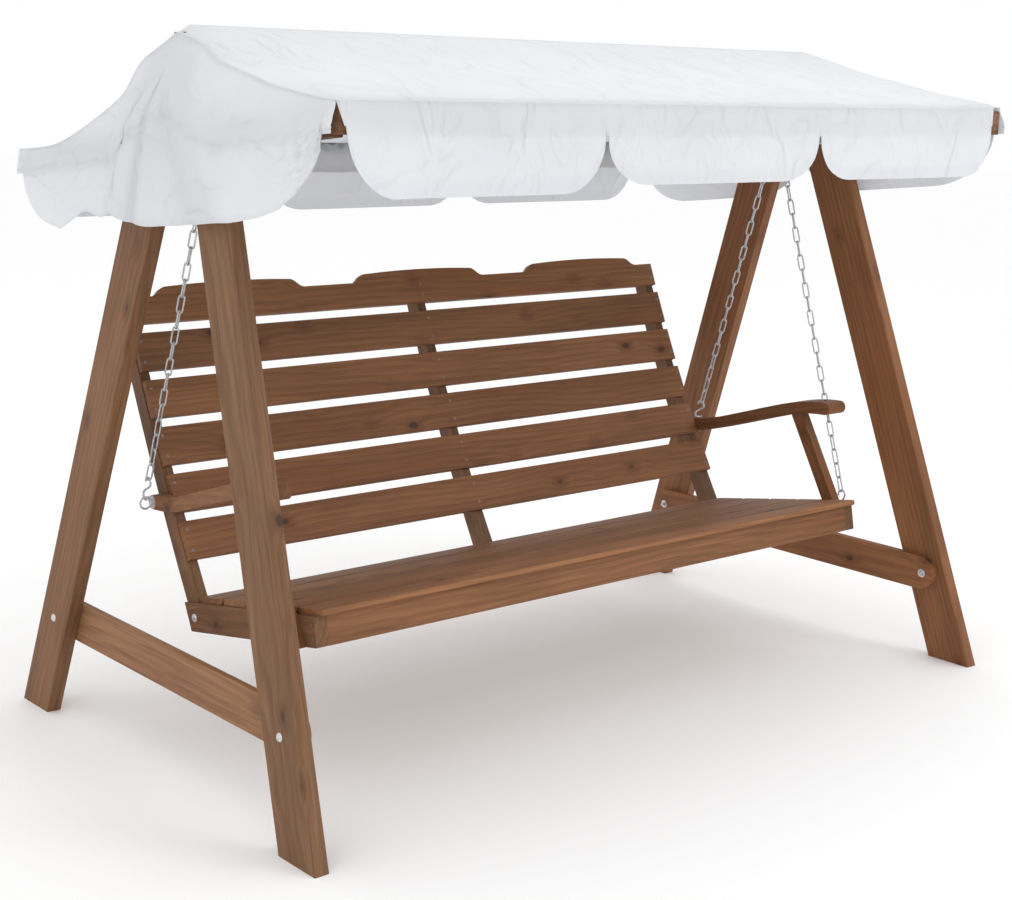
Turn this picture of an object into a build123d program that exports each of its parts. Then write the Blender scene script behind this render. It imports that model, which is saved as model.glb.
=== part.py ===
from build123d import *
from math import asin, atan2, cos, degrees, radians, sin, tan
import os

# Garden swing seat: a slatted timber bench hung on chains from two timber A-frames under a cloth roof.
# Millimetres.  X runs along the bench, -Y is the front, +Z is up, Z = 0 is the ground.
# Everything is drawn about the middle plane of the A-frames and moved back by FOOTPRINT_SHIFT when it
# is written, so that the origin is the bottom centre of the whole swing.

# ---------------------------------------------------------------- driving dimensions: A-frames
FOOT_X = 1100.5            # outer face of the legs at the ground
FOOT_Y = 654.0             # front and rear tips of the feet
LEG_THICK = 36.0
LEG_WIDE = 126.0
LEG_RAKE = 18.97           # degrees, front and rear legs towards each other
FRAME_LEAN = 3.69          # degrees, each A-frame leans in at the top
LEG_TOP = 1600.0
EDGE = 3.0                 # rounding of planed timber edges
CROSSBAR_Z = 246.0
CROSSBAR_HIGH = 95.0
CROSSBAR_THICK = 18.0
CROSSBAR_PAST = 36.0       # rounded end of a crossbar past the middle of the leg
BEAM_THICK = 45.0
BEAM_BOTTOM = 1480.0
BEAM_TOP = 1640.0
BEAM_HALF = 1000.0
BEAM_BOLT_Z = 1540.0
BEAM_BOLT_SEAT = 78.0      # from the middle plane to the flat under head or nut

# canopy timber and cloth
ARM_THICK = 28.0
ARM_HIGH = 60.0
ARM_MID_Z = 1410.3         # centre line of a canopy arm at Y = 0
ARM_SLOPE = 0.1073         # the canopy is carried higher at the front
CANOPY_FRONT = -636.0      # front face of the front canopy rail
CANOPY_REAR = 690.0        # rear face of the rear canopy rail
RAIL_THICK = 28.0
RAIL_HIGH = 60.0
RAIL_HALF = 1036.0
CLOTH = 4.0
CLOTH_HALF = 1046.0
RIDGE_Z = 1652.0           # underside of the cloth at the ridge
VALANCE_DROP = 170.0
FLAP_GAP = 45.0
FLAP_BAND = 46.0           # cloth left above the gaps between flaps
FLAP_RADIUS = 100.0

# bench
SEAT_X = 898.0             # outer face of the side rails
SIDE_THICK = 34.0
SIDE_HIGH = 69.0
SEAT_TILT = 10.39          # degrees, front edge higher
SIDE_FRONT = (-348.8, 427.1)    # top front corner of a side rail, (Y, Z)
SIDE_LENGTH = 551.6
REAR_CUT = 25.8            # degrees from upright at the rear end of the side rails
SLAT_WIDE = 95.0
SLAT_THICK = 18.0
SEAT_SLAT_HALF = 887.0
SEAT_SLAT_COUNT = 5
SEAT_SLAT_GAP = 9.2
SEAT_SLAT_THICK = 14.0
SEAT_OVERHANG = 20.0
APRON_THICK = 28.0
BEARER_THICK = 32.0

BACK_X = 888.0             # ends of the back slats
STILE_X = 890.0            # outer faces of the outer stiles
STILE_THICK = 28.0
STILE_DEEP = 44.0
LAP_X = 876.0              # meeting plane of the halved joint between stile and side rail
BACK_FOOT = (178.0, 434.0)      # lowest front edge of the back slats, (Y, Z)
BACK_ANGLE = 30.0          # degrees from upright at that edge
BACK_RADIUS = 4800.0       # the back curves gently forward towards the top
BACK_PITCH = 118.0
BACK_SLAT_COUNT = 5        # plain slats under the crest
CREST_VALLEY = 66.0
CREST_HUMP = 94.0
HUMP_PITCH = 598.0
HUMP_HALF = 226.0
HUMP_RAMP = 44.0

ARMREST_THICK = 34.0
ARMREST_LINE = [            # (Y, Z) along the middle of an armrest, from the rear
    (292.0, 556.0),
    (240.0, 560.0),
    (115.0, 591.0),
    (-40.0, 640.0),
    (-150.0, 670.0),
    (-238.0, 679.5),
]
ARMREST_REAR_OUT = 924.0
ARMREST_FRONT_OUT = 962.0
CHAIN_HOLE = 13.0          # radius of the hole in an armrest that lets the front chain through
POST_THICK = 28.0
POST_DEEP = 36.0
POST_FOOT = (-303.0, 350.0)
POST_HEAD = (-134.0, 648.0)

# steel
SWING_X = 920.0            # middle of a hook under the beam
SWING_Y = 14.0
SWING_Z = 1432.0           # swing axis, centre of the hook wire
HOOK_WIRE = 8.0
HOOK_HALF = 19.0
LINK_WIRE = 4.0
LINK_WIDE = 18.0
PLAY = 0.3                 # gap between one link and the next
CHAIN_TWIST = -40.0        # degrees, turn of a chain in its middle
TWIST_LINKS = 6            # links over which it turns at either end
REAR_LINKS = 22
FRONT_LINKS = 26
EYE_RADIUS = 14.0          # to the middle of the wire
EYE_WIRE = 5.0
EYE_SHANK = 4.0
S_HOOK_TALL = 57.0         # between the middles of the wire, top to bottom
S_HOOK_BOWL = 11.5
REAR_EYE = (942.7, 292.0, 556.0)
FRONT_EYE = (944.7, -287.0, 383.0)
BOLT = 4.0                 # radius of the carriage bolts
SIDE_BOLT = (148.5, 299.8)      # through side rail and stile, (Y, Z)

# ---------------------------------------------------------------- worked out from them
RAKE = tan(radians(LEG_RAKE))
LEAN = tan(radians(FRAME_LEAN))
LEG_ACROSS = LEG_WIDE / cos(radians(LEG_RAKE))
FOOTPRINT_SHIFT = (CANOPY_REAR + CLOTH - FOOT_Y) / 2
TILT = radians(SEAT_TILT)
LARGE = 3000.0


def write(shape, name):
    """Write one node, moved so that the origin is the bottom centre of the whole swing."""
    moved = Pos(0, -FOOTPRINT_SHIFT, 0) * shape
    moved.label = name
    export_step(moved, "parts/" + name + ".step")


def write_group(solids, name):
    """Write separate like solids, such as the screws of one kind, as one node."""
    write(Compound(children=list(solids)), name)


def on_side(shape, side):
    """Pieces are drawn on the right and mirrored for the left."""
    return shape if side == "right" else mirror(shape, Plane.YZ)


def board(outline, x_from, x_to):
    """A board whose outline is drawn as (Y, Z) points and which runs from x_from to x_to."""
    face = Plane.YZ.offset(x_from) * make_face(Polyline(*outline, close=True))
    return extrude(face, x_to - x_from)


def eased(timber, radius=EDGE):
    """Round the long edges that run along X."""
    return fillet(timber.edges().filter_by(Axis.X), radius)


def rod(start, end, radius):
    """A round bar between two points."""
    start = Vector(*start)
    along = Vector(*end) - start
    return extrude(Plane(origin=start, z_dir=along) * Circle(radius), along.length)


def shared(first, second):
    """The solid that two shapes have in common."""
    return first.intersect(second).solids()[0]


def bored(timber, tools):
    """A timber with the holes for its bolts or screws."""
    for tool in tools:
        timber = timber - tool
    return timber


# ---------------------------------------------------------------- fasteners, drawn along -X from X = 0
def carriage_bolt(length):
    """A domed head outside X = 0 and a shank of the given length."""
    head_radius = BOLT * 2.5
    head_high = BOLT * 1.1
    outline = Polyline(
        (head_high, 0),
        (-length, 0),
        (-length, BOLT),
        (0, BOLT),
        (0, head_radius),
        (head_high * 0.55, head_radius * 0.82),
        (head_high, head_radius * 0.35),
        close=True,
    )
    return revolve(make_face(outline), Axis.X)


def washer(hole, outer, thick=2.0):
    disc = rod((0, 0, 0), (-thick, 0, 0), outer)
    return disc - rod((1, 0, 0), (-thick - 1, 0, 0), hole)


def nut(hole):
    thick = hole * 1.6
    body = extrude(Plane.YZ * RegularPolygon(hole * 1.85, 6), -thick)
    return body - rod((1, 0, 0), (-thick - 1, 0, 0), hole)


def wood_screw(length):
    """A flat countersunk head whose top is at X = 0."""
    outline = Polyline((0, 0), (-length, 0), (-length, 1.8), (-2.5, 1.8), (0, 3.8), close=True)
    return revolve(make_face(outline), Axis.X)


# ---------------------------------------------------------------- A-frames
def lean(shape):
    """Tip an upright piece of the right A-frame inwards about the outer edge of its feet."""
    foot = Pos(FOOT_X, 0, 0)
    return foot * Rot(0, -FRAME_LEAN, 0) * foot.inverse() * shape


def leg_outer(z):
    return FOOT_Y - RAKE * z


def leg_middle(z):
    return leg_outer(z) - LEG_ACROSS / 2


def leg(end):
    """A raked right leg, level at the foot and upright where it meets the top beam."""
    below = -80.0
    beam_face = BEAM_THICK / 2
    meet = (FOOT_Y - LEG_ACROSS - beam_face) / RAKE
    outline = [
        (leg_outer(below), below),
        (leg_outer(LEG_TOP), LEG_TOP),
        (beam_face, LEG_TOP),
        (beam_face, meet),
        (leg_outer(below) - LEG_ACROSS, below),
    ]
    if end == "front":
        outline = [(-y, z) for y, z in outline]
    timber = board(outline, FOOT_X - LEG_THICK, FOOT_X)
    timber = fillet(timber.edges().filter_by(lambda edge: edge.length > 1000), EDGE)
    ground = Pos(0, 0, -LARGE / 2) * Box(LARGE, LARGE, LARGE)
    return lean(timber) - ground


def crossbar():
    """The low rail inside an A-frame, with rounded ends."""
    half = leg_middle(CROSSBAR_Z) + CROSSBAR_PAST
    shape = Plane.YZ * SlotOverall(2 * half, CROSSBAR_HIGH)
    bar = extrude(shape, CROSSBAR_THICK)
    return lean(Pos(FOOT_X - LEG_THICK - CROSSBAR_THICK, 0, CROSSBAR_Z) * bar)


def top_beam():
    high = BEAM_TOP - BEAM_BOTTOM
    return eased(Pos(0, 0, BEAM_BOTTOM + high / 2) * Box(2 * BEAM_HALF, BEAM_THICK, high))


def arm_z(y):
    """Height of the centre line of a canopy arm."""
    return ARM_MID_Z - ARM_SLOPE * y


def arm_bolt_y(end):
    """Where the centre line of a canopy arm crosses that of a leg."""
    s = -1.0 if end == "front" else 1.0
    return s * (leg_middle(0) - RAKE * ARM_MID_Z) / (1 - s * RAKE * ARM_SLOPE)


def canopy_arm():
    """The sloping arm bolted across the outside of an A-frame, between the two canopy rails."""
    front = CANOPY_FRONT + RAIL_THICK
    rear = CANOPY_REAR - RAIL_THICK
    rise = ARM_HIGH / 2
    outline = [
        (front, arm_z(front) + rise),
        (rear, arm_z(rear) + rise),
        (rear, arm_z(rear) - rise),
        (front, arm_z(front) - rise),
    ]
    timber = board(outline, FOOT_X, FOOT_X + ARM_THICK)
    return lean(fillet(timber.edges().filter_by(lambda edge: edge.length > 1000), EDGE))


def rail_top(end):
    y = CANOPY_FRONT if end == "front" else CANOPY_REAR
    return arm_z(y) + ARM_HIGH / 2


def canopy_rail(end):
    """A rail along the whole canopy, across the ends of the two arms."""
    y = CANOPY_FRONT + RAIL_THICK / 2 if end == "front" else CANOPY_REAR - RAIL_THICK / 2
    z = rail_top(end) - RAIL_HIGH / 2
    return eased(Pos(0, y, z) * Box(2 * RAIL_HALF, RAIL_THICK, RAIL_HIGH))


def frame_fasteners():
    """Bolts, washers and nuts of both A-frames, by kind."""
    sets = {"leg_bolts": [], "frame_washers": [], "frame_nuts": []}
    places = []
    for end in ("front", "rear"):
        s = -1.0 if end == "front" else 1.0
        places.append((FOOT_X, s * leg_middle(CROSSBAR_Z), CROSSBAR_Z, LEG_THICK + CROSSBAR_THICK))
        y = arm_bolt_y(end)
        places.append((FOOT_X + ARM_THICK, y, arm_z(y), ARM_THICK + LEG_THICK))
    for x, y, z, grip in places:
        made = {
            "leg_bolts": Pos(x, y, z) * carriage_bolt(grip + 13.0),
            "frame_washers": Pos(x - grip, y, z) * washer(BOLT, 12.0),
            "frame_nuts": Pos(x - grip - 2.0, y, z) * nut(BOLT),
        }
        for kind, piece in made.items():
            for side in ("left", "right"):
                sets[kind].append(on_side(lean(piece), side))
    return sets


def beam_bolt_x():
    return FOOT_X - LEG_THICK / 2 - BEAM_BOLT_Z * LEAN


def beam_fasteners():
    """One long bolt through two leg tops and the beam on each side, with its washer and nut."""
    turn = Pos(beam_bolt_x(), 0, BEAM_BOLT_Z) * Rot(0, 0, -90)
    bolt = turn * Pos(BEAM_BOLT_SEAT, 0, 0) * carriage_bolt(2 * BEAM_BOLT_SEAT + 13.0)
    ring = turn * Pos(-BEAM_BOLT_SEAT, 0, 0) * washer(BOLT, 10.0)
    hexagon = turn * Pos(-BEAM_BOLT_SEAT - 2.0, 0, 0) * nut(BOLT)
    return bolt, ring, hexagon


def beam_bolt_pockets():
    """The two counterbores in the leg tops."""
    pockets = []
    for s in (-1, 1):
        start = (beam_bolt_x(), s * BEAM_BOLT_SEAT, BEAM_BOLT_Z)
        pockets.append(rod(start, (beam_bolt_x(), s * 200.0, BEAM_BOLT_Z), 11.0))
    return pockets


def canopy_screws():
    """Screws through each canopy rail into the end grain of the arms."""
    screws = []
    for end in ("front", "rear"):
        y = CANOPY_FRONT if end == "front" else CANOPY_REAR
        turn = -90 if end == "front" else 90
        for rise in (-14.0, 14.0):
            z = arm_z(y) + rise
            x = FOOT_X + ARM_THICK / 2 - z * LEAN
            screw = Pos(x, y, z) * Rot(0, 0, turn) * wood_screw(70)
            screws += [on_side(screw, "left"), screw]
    return screws


def beam_hook():
    """A hook screwed up into the beam: its straight wire along X is the swing axis."""
    bend = 9.0
    top = BEAM_BOTTOM - 12.0
    tip = SWING_Z + 22.0
    points = [
        (0.0, BEAM_BOTTOM + 55.0),
        (0.0, top),
        (-HOOK_HALF, top - 12.0),
        (-HOOK_HALF, SWING_Z),
        (HOOK_HALF, SWING_Z),
        (HOOK_HALF, tip),
    ]
    spine = FilletPolyline(*points, radius=bend)
    spine = Plane.XZ * spine
    hook = sweep(Plane(origin=spine @ 0, z_dir=spine % 0) * Circle(HOOK_WIRE / 2), path=spine)
    return Pos(SWING_X, SWING_Y, 0) * hook


# ---------------------------------------------------------------- canopy cloth
def cloth_edge(end):
    """(Y of the inner face, Z of the underside) at the front or rear edge of the roof."""
    y = CANOPY_FRONT if end == "front" else CANOPY_REAR
    return y, rail_top(end)


def roof_under(end, y):
    edge_y, edge_z = cloth_edge(end)
    return RIDGE_Z + (edge_z - RIDGE_Z) * y / edge_y


def outer_y(end):
    return CANOPY_FRONT - CLOTH if end == "front" else CANOPY_REAR + CLOTH


def roof_panel(end):
    y = outer_y(end)
    z = roof_under(end, y)
    outline = [(0, RIDGE_Z), (y, z), (y, z + CLOTH), (0, RIDGE_Z + CLOTH)]
    return board(outline, -CLOTH_HALF, CLOTH_HALF)


def valance(end):
    """A hanging edge of cloth cut into three flaps with rounded corners."""
    top = roof_under(end, outer_y(end))
    inner = cloth_edge(end)[0]
    shape = Pos(0, -FLAP_BAND / 2) * Rectangle(2 * CLOTH_HALF, FLAP_BAND)
    pitch = 2 * CLOTH_HALF / 3
    for place in (-1, 0, 1):
        flap = Pos(place * pitch, -VALANCE_DROP / 2) * Rectangle(pitch - FLAP_GAP, VALANCE_DROP)
        shape = shape + fillet(flap.vertices().group_by(Axis.Y)[0], FLAP_RADIUS)
    face = Plane(origin=(0, inner, top), x_dir=(1, 0, 0), z_dir=(0, -1, 0)) * shape
    return extrude(face, CLOTH if end == "front" else -CLOTH)


def gable(side):
    """The closed end of the canopy, with the side flap that hangs under it."""
    front, rear = outer_y("front"), outer_y("rear")
    front_z, rear_z = roof_under("front", front), roof_under("rear", rear)
    outline = [
        (front, front_z + CLOTH),
        (0, RIDGE_Z + CLOTH),
        (rear, rear_z + CLOTH),
        (rear, rear_z - VALANCE_DROP),
        (300.0, rear_z - VALANCE_DROP),
        (front, front_z - VALANCE_DROP),
    ]
    return on_side(board(outline, CLOTH_HALF, CLOTH_HALF + CLOTH), side)


# ---------------------------------------------------------------- bench: seat
def seat_point(along, up):
    """(Y, Z) of a point measured along and square to the top edge of the side rails."""
    y = SIDE_FRONT[0] + along * cos(TILT) + up * sin(TILT)
    z = SIDE_FRONT[1] - along * sin(TILT) + up * cos(TILT)
    return (y, z)


def seat_board(along_from, along_to, up_from, up_to, x_from, x_to):
    outline = [
        seat_point(along_from, up_from),
        seat_point(along_to, up_from),
        seat_point(along_to, up_to),
        seat_point(along_from, up_to),
    ]
    return board(outline, x_from, x_to)


def seat_rail(start, x_from, x_to):
    """A rail under the seat slats, square at the front and raked at the rear."""
    back = SIDE_HIGH * tan(radians(REAR_CUT) - TILT)
    outline = [
        seat_point(start, 0),
        seat_point(SIDE_LENGTH, 0),
        seat_point(SIDE_LENGTH - back, -SIDE_HIGH),
        seat_point(start, -SIDE_HIGH),
    ]
    return board(outline, x_from, x_to)


def seat_slat(index):
    """A lengthwise seat slat, numbered from the front; the first has a round nose."""
    start = index * (SLAT_WIDE + SEAT_SLAT_GAP) - SEAT_OVERHANG
    slat = seat_board(start, start + SLAT_WIDE, 0, SEAT_SLAT_THICK, -SEAT_SLAT_HALF, SEAT_SLAT_HALF)
    if index > 0:
        return eased(slat, 2.5)
    nose = slat.edges().filter_by(Axis.X).sort_by(Axis.Y)[:2]
    return fillet(nose, 5.0)


# ---------------------------------------------------------------- bench: back
def back_point(along, behind=0.0):
    """(Y, Z) at a length up the curve of the back, and so far behind the front of the slats."""
    angle = radians(BACK_ANGLE) - along / BACK_RADIUS
    centre_y = BACK_FOOT[0] - BACK_RADIUS * cos(radians(BACK_ANGLE))
    centre_z = BACK_FOOT[1] + BACK_RADIUS * sin(radians(BACK_ANGLE))
    reach = BACK_RADIUS + behind
    return (centre_y + reach * cos(angle), centre_z - reach * sin(angle))


STILE_TOP = BACK_SLAT_COUNT * BACK_PITCH + CREST_VALLEY - 4
STILE_SEAT = -107.0        # where the front of a stile passes the top of the side rail


def stile_blank(x_from, x_to):
    """A stile following the curve of the back, its rear edge running down to the end of the rail."""
    front = ThreePointArc(
        back_point(STILE_SEAT, SLAT_THICK),
        back_point((STILE_SEAT + STILE_TOP) / 2, SLAT_THICK),
        back_point(STILE_TOP, SLAT_THICK),
    )
    rear_seat = seat_point(SIDE_LENGTH, 0)
    behind = SLAT_THICK + STILE_DEEP
    rear = ThreePointArc(
        back_point(STILE_TOP, behind),
        back_point(STILE_TOP / 2, behind),
        rear_seat,
    )
    back = SIDE_HIGH * tan(radians(REAR_CUT) - TILT)
    rear_low = seat_point(SIDE_LENGTH - back, -SIDE_HIGH)
    foot_deep = STILE_DEEP + 6
    front_low = seat_point(SIDE_LENGTH - back - foot_deep, -SIDE_HIGH)
    lines = Curve() + [
        front,
        Line(front @ 1, rear @ 0),
        rear,
        Line(rear_seat, rear_low),
        Line(rear_low, front_low),
        Line(front_low, front @ 0),
    ]
    return extrude(Plane.YZ.offset(x_from) * make_face(lines), x_to - x_from)


def under_seat(x_from, x_to):
    """Everything under the top line of the seat rails."""
    return seat_board(-200, 900, -300, 0, x_from, x_to)


def outer_stile():
    """Full section above the side rail, half of it beside the rail."""
    blank = stile_blank(STILE_X - STILE_THICK, STILE_X)
    return blank - under_seat(LAP_X, STILE_X + 1)


def side_rail():
    rail = eased(seat_rail(0, SEAT_X - SIDE_THICK, SEAT_X), 2.0)
    return rail - stile_blank(SEAT_X - SIDE_THICK - 1, LAP_X)


def middle_stile():
    blank = stile_blank(-STILE_THICK / 2, STILE_THICK / 2)
    return blank - under_seat(-STILE_THICK, 0)


def middle_bearer():
    rail = seat_rail(APRON_THICK, -BEARER_THICK / 2, BEARER_THICK / 2)
    return rail - stile_blank(0, BEARER_THICK)


def back_slat(index):
    """A flat slat on the stiles, numbered from the bottom."""
    start = index * BACK_PITCH
    outline = [
        back_point(start),
        back_point(start + SLAT_WIDE),
        back_point(start + SLAT_WIDE, SLAT_THICK),
        back_point(start, SLAT_THICK),
    ]
    return eased(board(outline, -BACK_X, BACK_X), 2.0)


def crest_rail():
    """The top board of the back: straight below, three long humps above."""
    rise = CREST_HUMP - CREST_VALLEY
    shoulder = CREST_VALLEY + rise * 0.8
    at = (-BACK_X, CREST_VALLEY)
    lines = [Line((BACK_X, 0), (-BACK_X, 0)), Line((-BACK_X, 0), at)]
    for middle in (-HUMP_PITCH, 0.0, HUMP_PITCH):
        left = (middle - HUMP_HALF, CREST_VALLEY)
        left_top = (middle - HUMP_HALF + HUMP_RAMP, shoulder)
        right_top = (middle + HUMP_HALF - HUMP_RAMP, shoulder)
        right = (middle + HUMP_HALF, CREST_VALLEY)
        lines.append(Line(at, left))
        lines.append(Spline(left, left_top, tangents=((1, 0), (1, 0.12))))
        lines.append(ThreePointArc(left_top, (middle, CREST_HUMP), right_top))
        lines.append(Spline(right_top, right, tangents=((1, -0.12), (1, 0))))
        at = right
    lines.append(Line(at, (BACK_X, CREST_VALLEY)))
    lines.append(Line((BACK_X, CREST_VALLEY), (BACK_X, 0)))
    low = back_point(BACK_SLAT_COUNT * BACK_PITCH)
    high = back_point(BACK_SLAT_COUNT * BACK_PITCH + SLAT_WIDE)
    up = Vector(0, high[0] - low[0], high[1] - low[1])
    plane = Plane(origin=(0, low[0], low[1]), x_dir=(1, 0, 0), z_dir=Vector(1, 0, 0).cross(up))
    return extrude(plane * make_face(Curve() + lines), -SLAT_THICK)


# ---------------------------------------------------------------- bench: armrests
def armrest_profile():
    """Side view of an armrest: an S-curve of even thickness with round ends."""
    middle = Spline(*ARMREST_LINE)
    half = ARMREST_THICK / 2
    upper = []
    lower = []
    steps = 10
    for i in range(steps + 1):
        place = middle @ (i / steps)
        along = middle % (i / steps)
        upper.append((place.X - along.Y * half, place.Y + along.X * half))
        lower.append((place.X + along.Y * half, place.Y - along.X * half))
    start, end = middle @ 0, middle @ 1
    start_tip = start - (middle % 0) * half
    end_tip = end + (middle % 1) * half
    lines = Curve() + [
        Spline(*upper),
        ThreePointArc(upper[-1], (end_tip.X, end_tip.Y), lower[-1]),
        Spline(*reversed(lower)),
        ThreePointArc(lower[0], (start_tip.X, start_tip.Y), upper[0]),
    ]
    return make_face(lines)


def armrest():
    """Wide at the hand, narrow beside the stile, with a hole for the front chain."""
    slab = extrude(Plane.YZ.offset(STILE_X) * armrest_profile(), ARMREST_FRONT_OUT - STILE_X)
    plan = [
        (STILE_X, 400),
        (ARMREST_REAR_OUT, 400),
        (ARMREST_REAR_OUT, 240),
        (ARMREST_FRONT_OUT, -170),
        (ARMREST_FRONT_OUT, -300),
        (STILE_X, -300),
    ]
    prism = extrude(Plane.XY.offset(400) * make_face(Polyline(*plan, close=True)), 500)
    hole = rod(chain_foot("front"), (SWING_X, SWING_Y, SWING_Z), CHAIN_HOLE)
    return shared(slab, prism) - hole


def arm_post():
    """The raked post on the outside of a side rail, cut to the underside of the armrest."""
    rake = atan2(POST_HEAD[0] - POST_FOOT[0], POST_HEAD[1] - POST_FOOT[1])
    half = POST_DEEP / 2 / cos(rake)
    beyond = 60.0
    step = beyond * tan(rake)
    outline = [
        (POST_FOOT[0] - step - half, POST_FOOT[1] - beyond),
        (POST_FOOT[0] - step + half, POST_FOOT[1] - beyond),
        (POST_HEAD[0] + step + half, POST_HEAD[1] + beyond),
        (POST_HEAD[0] + step - half, POST_HEAD[1] + beyond),
    ]
    timber = board(outline, SEAT_X, SEAT_X + POST_THICK)
    timber = timber - seat_board(-300, 900, -300, -SIDE_HIGH, SEAT_X - 1, SEAT_X + POST_THICK + 1)
    timber = timber - extrude(Plane.YZ.offset(SEAT_X - 1) * armrest_profile(), POST_THICK + 2)
    return timber.solids().sort_by(Axis.Z)[0]


# ---------------------------------------------------------------- chains and fittings
def placed_along(start, end):
    """A placement whose Z runs from start to end, with its X square to that and level with X."""
    along = (Vector(*end) - Vector(*start)).normalized()
    across = Vector(1, 0, 0) - along * along.X
    return Location(Plane(origin=Vector(*start), x_dir=across, z_dir=along))


def link(length):
    """A long chain link in the XZ plane, centred on the origin; length over all."""
    turn = (LINK_WIDE - LINK_WIRE) / 2
    straight = (length - LINK_WIDE) / 2
    hoop = Rot(90, 0, 0) * Torus(turn, LINK_WIRE / 2)
    made = None
    for s in (-1, 1):
        keep = Pos(0, 0, s * LINK_WIDE) * Box(2 * LINK_WIDE, 2 * LINK_WIDE, 2 * LINK_WIDE)
        bend = Pos(0, 0, s * straight) * shared(hoop, keep)
        side = rod((s * turn, 0, -straight), (s * turn, 0, straight), LINK_WIRE / 2)
        made = bend + side if made is None else made + bend + side
    return made


def eye_of(end):
    return FRONT_EYE if end == "front" else REAR_EYE


def eye_wire_top(end):
    x, y, z = eye_of(end)
    return Vector(x, y, z + EYE_RADIUS)


def chain_direction(end):
    return (Vector(SWING_X, SWING_Y, SWING_Z) - eye_wire_top(end)).normalized()


def chain_foot(end):
    """Middle of the wire at the top of the S-hook, which the chain pulls on."""
    seated = EYE_WIRE + PLAY
    return tuple(eye_wire_top(end) + chain_direction(end) * (S_HOOK_TALL - seated))


def chain(end):
    """Links from the S-hook up to the beam hook, each turned about a quarter from the one before."""
    side_step = 4.0 if end == "front" else -4.0
    foot = Vector(*chain_foot(end))
    top = Vector(SWING_X + side_step, SWING_Y, SWING_Z)
    count = FRONT_LINKS if end == "front" else REAR_LINKS
    low_reach = (EYE_WIRE + LINK_WIRE) / 2 + PLAY
    high_reach = (LINK_WIDE - LINK_WIRE) / 2
    span = (top - foot).length + low_reach + high_reach
    pitch = (span - LINK_WIRE - PLAY) / count
    one = link(pitch + PLAY + 2 * LINK_WIRE)
    place = placed_along(tuple(foot), tuple(top))
    first = (pitch + PLAY + LINK_WIRE) / 2 - low_reach
    links = []
    for i in range(count):
        twist = CHAIN_TWIST * min(1.0, min(i, count - 1 - i) / TWIST_LINKS)
        links.append(place * Pos(0, 0, first + i * pitch) * Rot(0, 0, 90 * (i % 2) + twist) * one)
    return links


def s_hook(end):
    """An S bent in the plane of the chain, hung in an eye and carrying the lowest link."""
    gap = S_HOOK_TALL - 2 * S_HOOK_BOWL
    cross = degrees(asin(2 * S_HOOK_BOWL / gap))
    low = CenterArc((0, 0), S_HOOK_BOWL, 165, 195 + cross)
    high = CenterArc((0, gap), S_HOOK_BOWL, 180 + cross, -(195 + cross))
    spine = Plane.YZ * (Curve() + [low, Line(low @ 1, high @ 0), high])
    spine = Wire(spine.edges())
    hook = sweep(Plane(origin=spine @ 0, z_dir=spine % 0) * Circle(EYE_WIRE / 2), path=spine)
    seat = eye_wire_top(end) - chain_direction(end) * (EYE_WIRE + PLAY)
    place = placed_along(tuple(seat), tuple(Vector(SWING_X, SWING_Y, SWING_Z)))
    return place * Pos(0, 0, S_HOOK_BOWL) * hook


def eye_bolt(end):
    """An eye standing across the bench with a shank that runs in through the timber."""
    x, y, z = eye_of(end)
    grip = x - EYE_RADIUS - (SEAT_X - SIDE_THICK if end == "front" else STILE_X - STILE_THICK)
    shank = rod((-EYE_RADIUS, 0, 0), (-EYE_RADIUS - grip - 10.0, 0, 0), EYE_SHANK)
    return Pos(x, y, z) * (Rot(90, 0, 0) * Torus(EYE_RADIUS, EYE_WIRE / 2) + shank)


def eye_washer(end):
    x = SEAT_X + POST_THICK if end == "front" else ARMREST_REAR_OUT
    return Pos(x + 2.0, eye_of(end)[1], eye_of(end)[2]) * washer(EYE_SHANK, 16.5)


def eye_nut(end):
    x = SEAT_X - SIDE_THICK if end == "front" else STILE_X - STILE_THICK
    return Pos(x, eye_of(end)[1], eye_of(end)[2]) * nut(EYE_SHANK)


# ---------------------------------------------------------------- screws of the bench
def seat_screws():
    """Two screws down through each seat slat into the side rails and the middle bearer."""
    screws = {}
    for index in range(SEAT_SLAT_COUNT):
        start = index * (SLAT_WIDE + SEAT_SLAT_GAP) - SEAT_OVERHANG
        screws[index] = []
        for x in (-874.0, -8.0, 874.0):
            for inset in (24.0, SLAT_WIDE - 24.0):
                y, z = seat_point(start + inset, SEAT_SLAT_THICK)
                place = Pos(x, y, z) * Rot(-SEAT_TILT, 0, 0) * Rot(0, -90, 0)
                screws[index].append(place * wood_screw(40))
    return screws


def back_screws():
    """Two screws through each back board into each stile."""
    screws = {}
    for index in range(BACK_SLAT_COUNT + 1):
        start = index * BACK_PITCH
        low, high = back_point(start), back_point(start + SLAT_WIDE)
        rake = degrees(atan2(high[0] - low[0], high[1] - low[1]))
        far = SLAT_WIDE - 22.0 if index < BACK_SLAT_COUNT else CREST_VALLEY - 16.0
        screws[index] = []
        for x in (-(STILE_X - STILE_THICK / 2), 0.0, STILE_X - STILE_THICK / 2):
            for inset in (22.0, far):
                share = inset / SLAT_WIDE
                y = low[0] + (high[0] - low[0]) * share
                z = low[1] + (high[1] - low[1]) * share
                place = Pos(x, y, z) * Rot(-rake, 0, 0) * Rot(0, 0, -90)
                screws[index].append(place * wood_screw(40))
    return screws


def apron_screws():
    """Two screws through each side rail into the end of the apron."""
    screws = []
    for up in (-20.0, -50.0):
        y, z = seat_point(APRON_THICK / 2, up)
        screw = Pos(SEAT_X, y, z) * wood_screw(75)
        screws += [on_side(screw, "left"), screw]
    return screws


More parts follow.
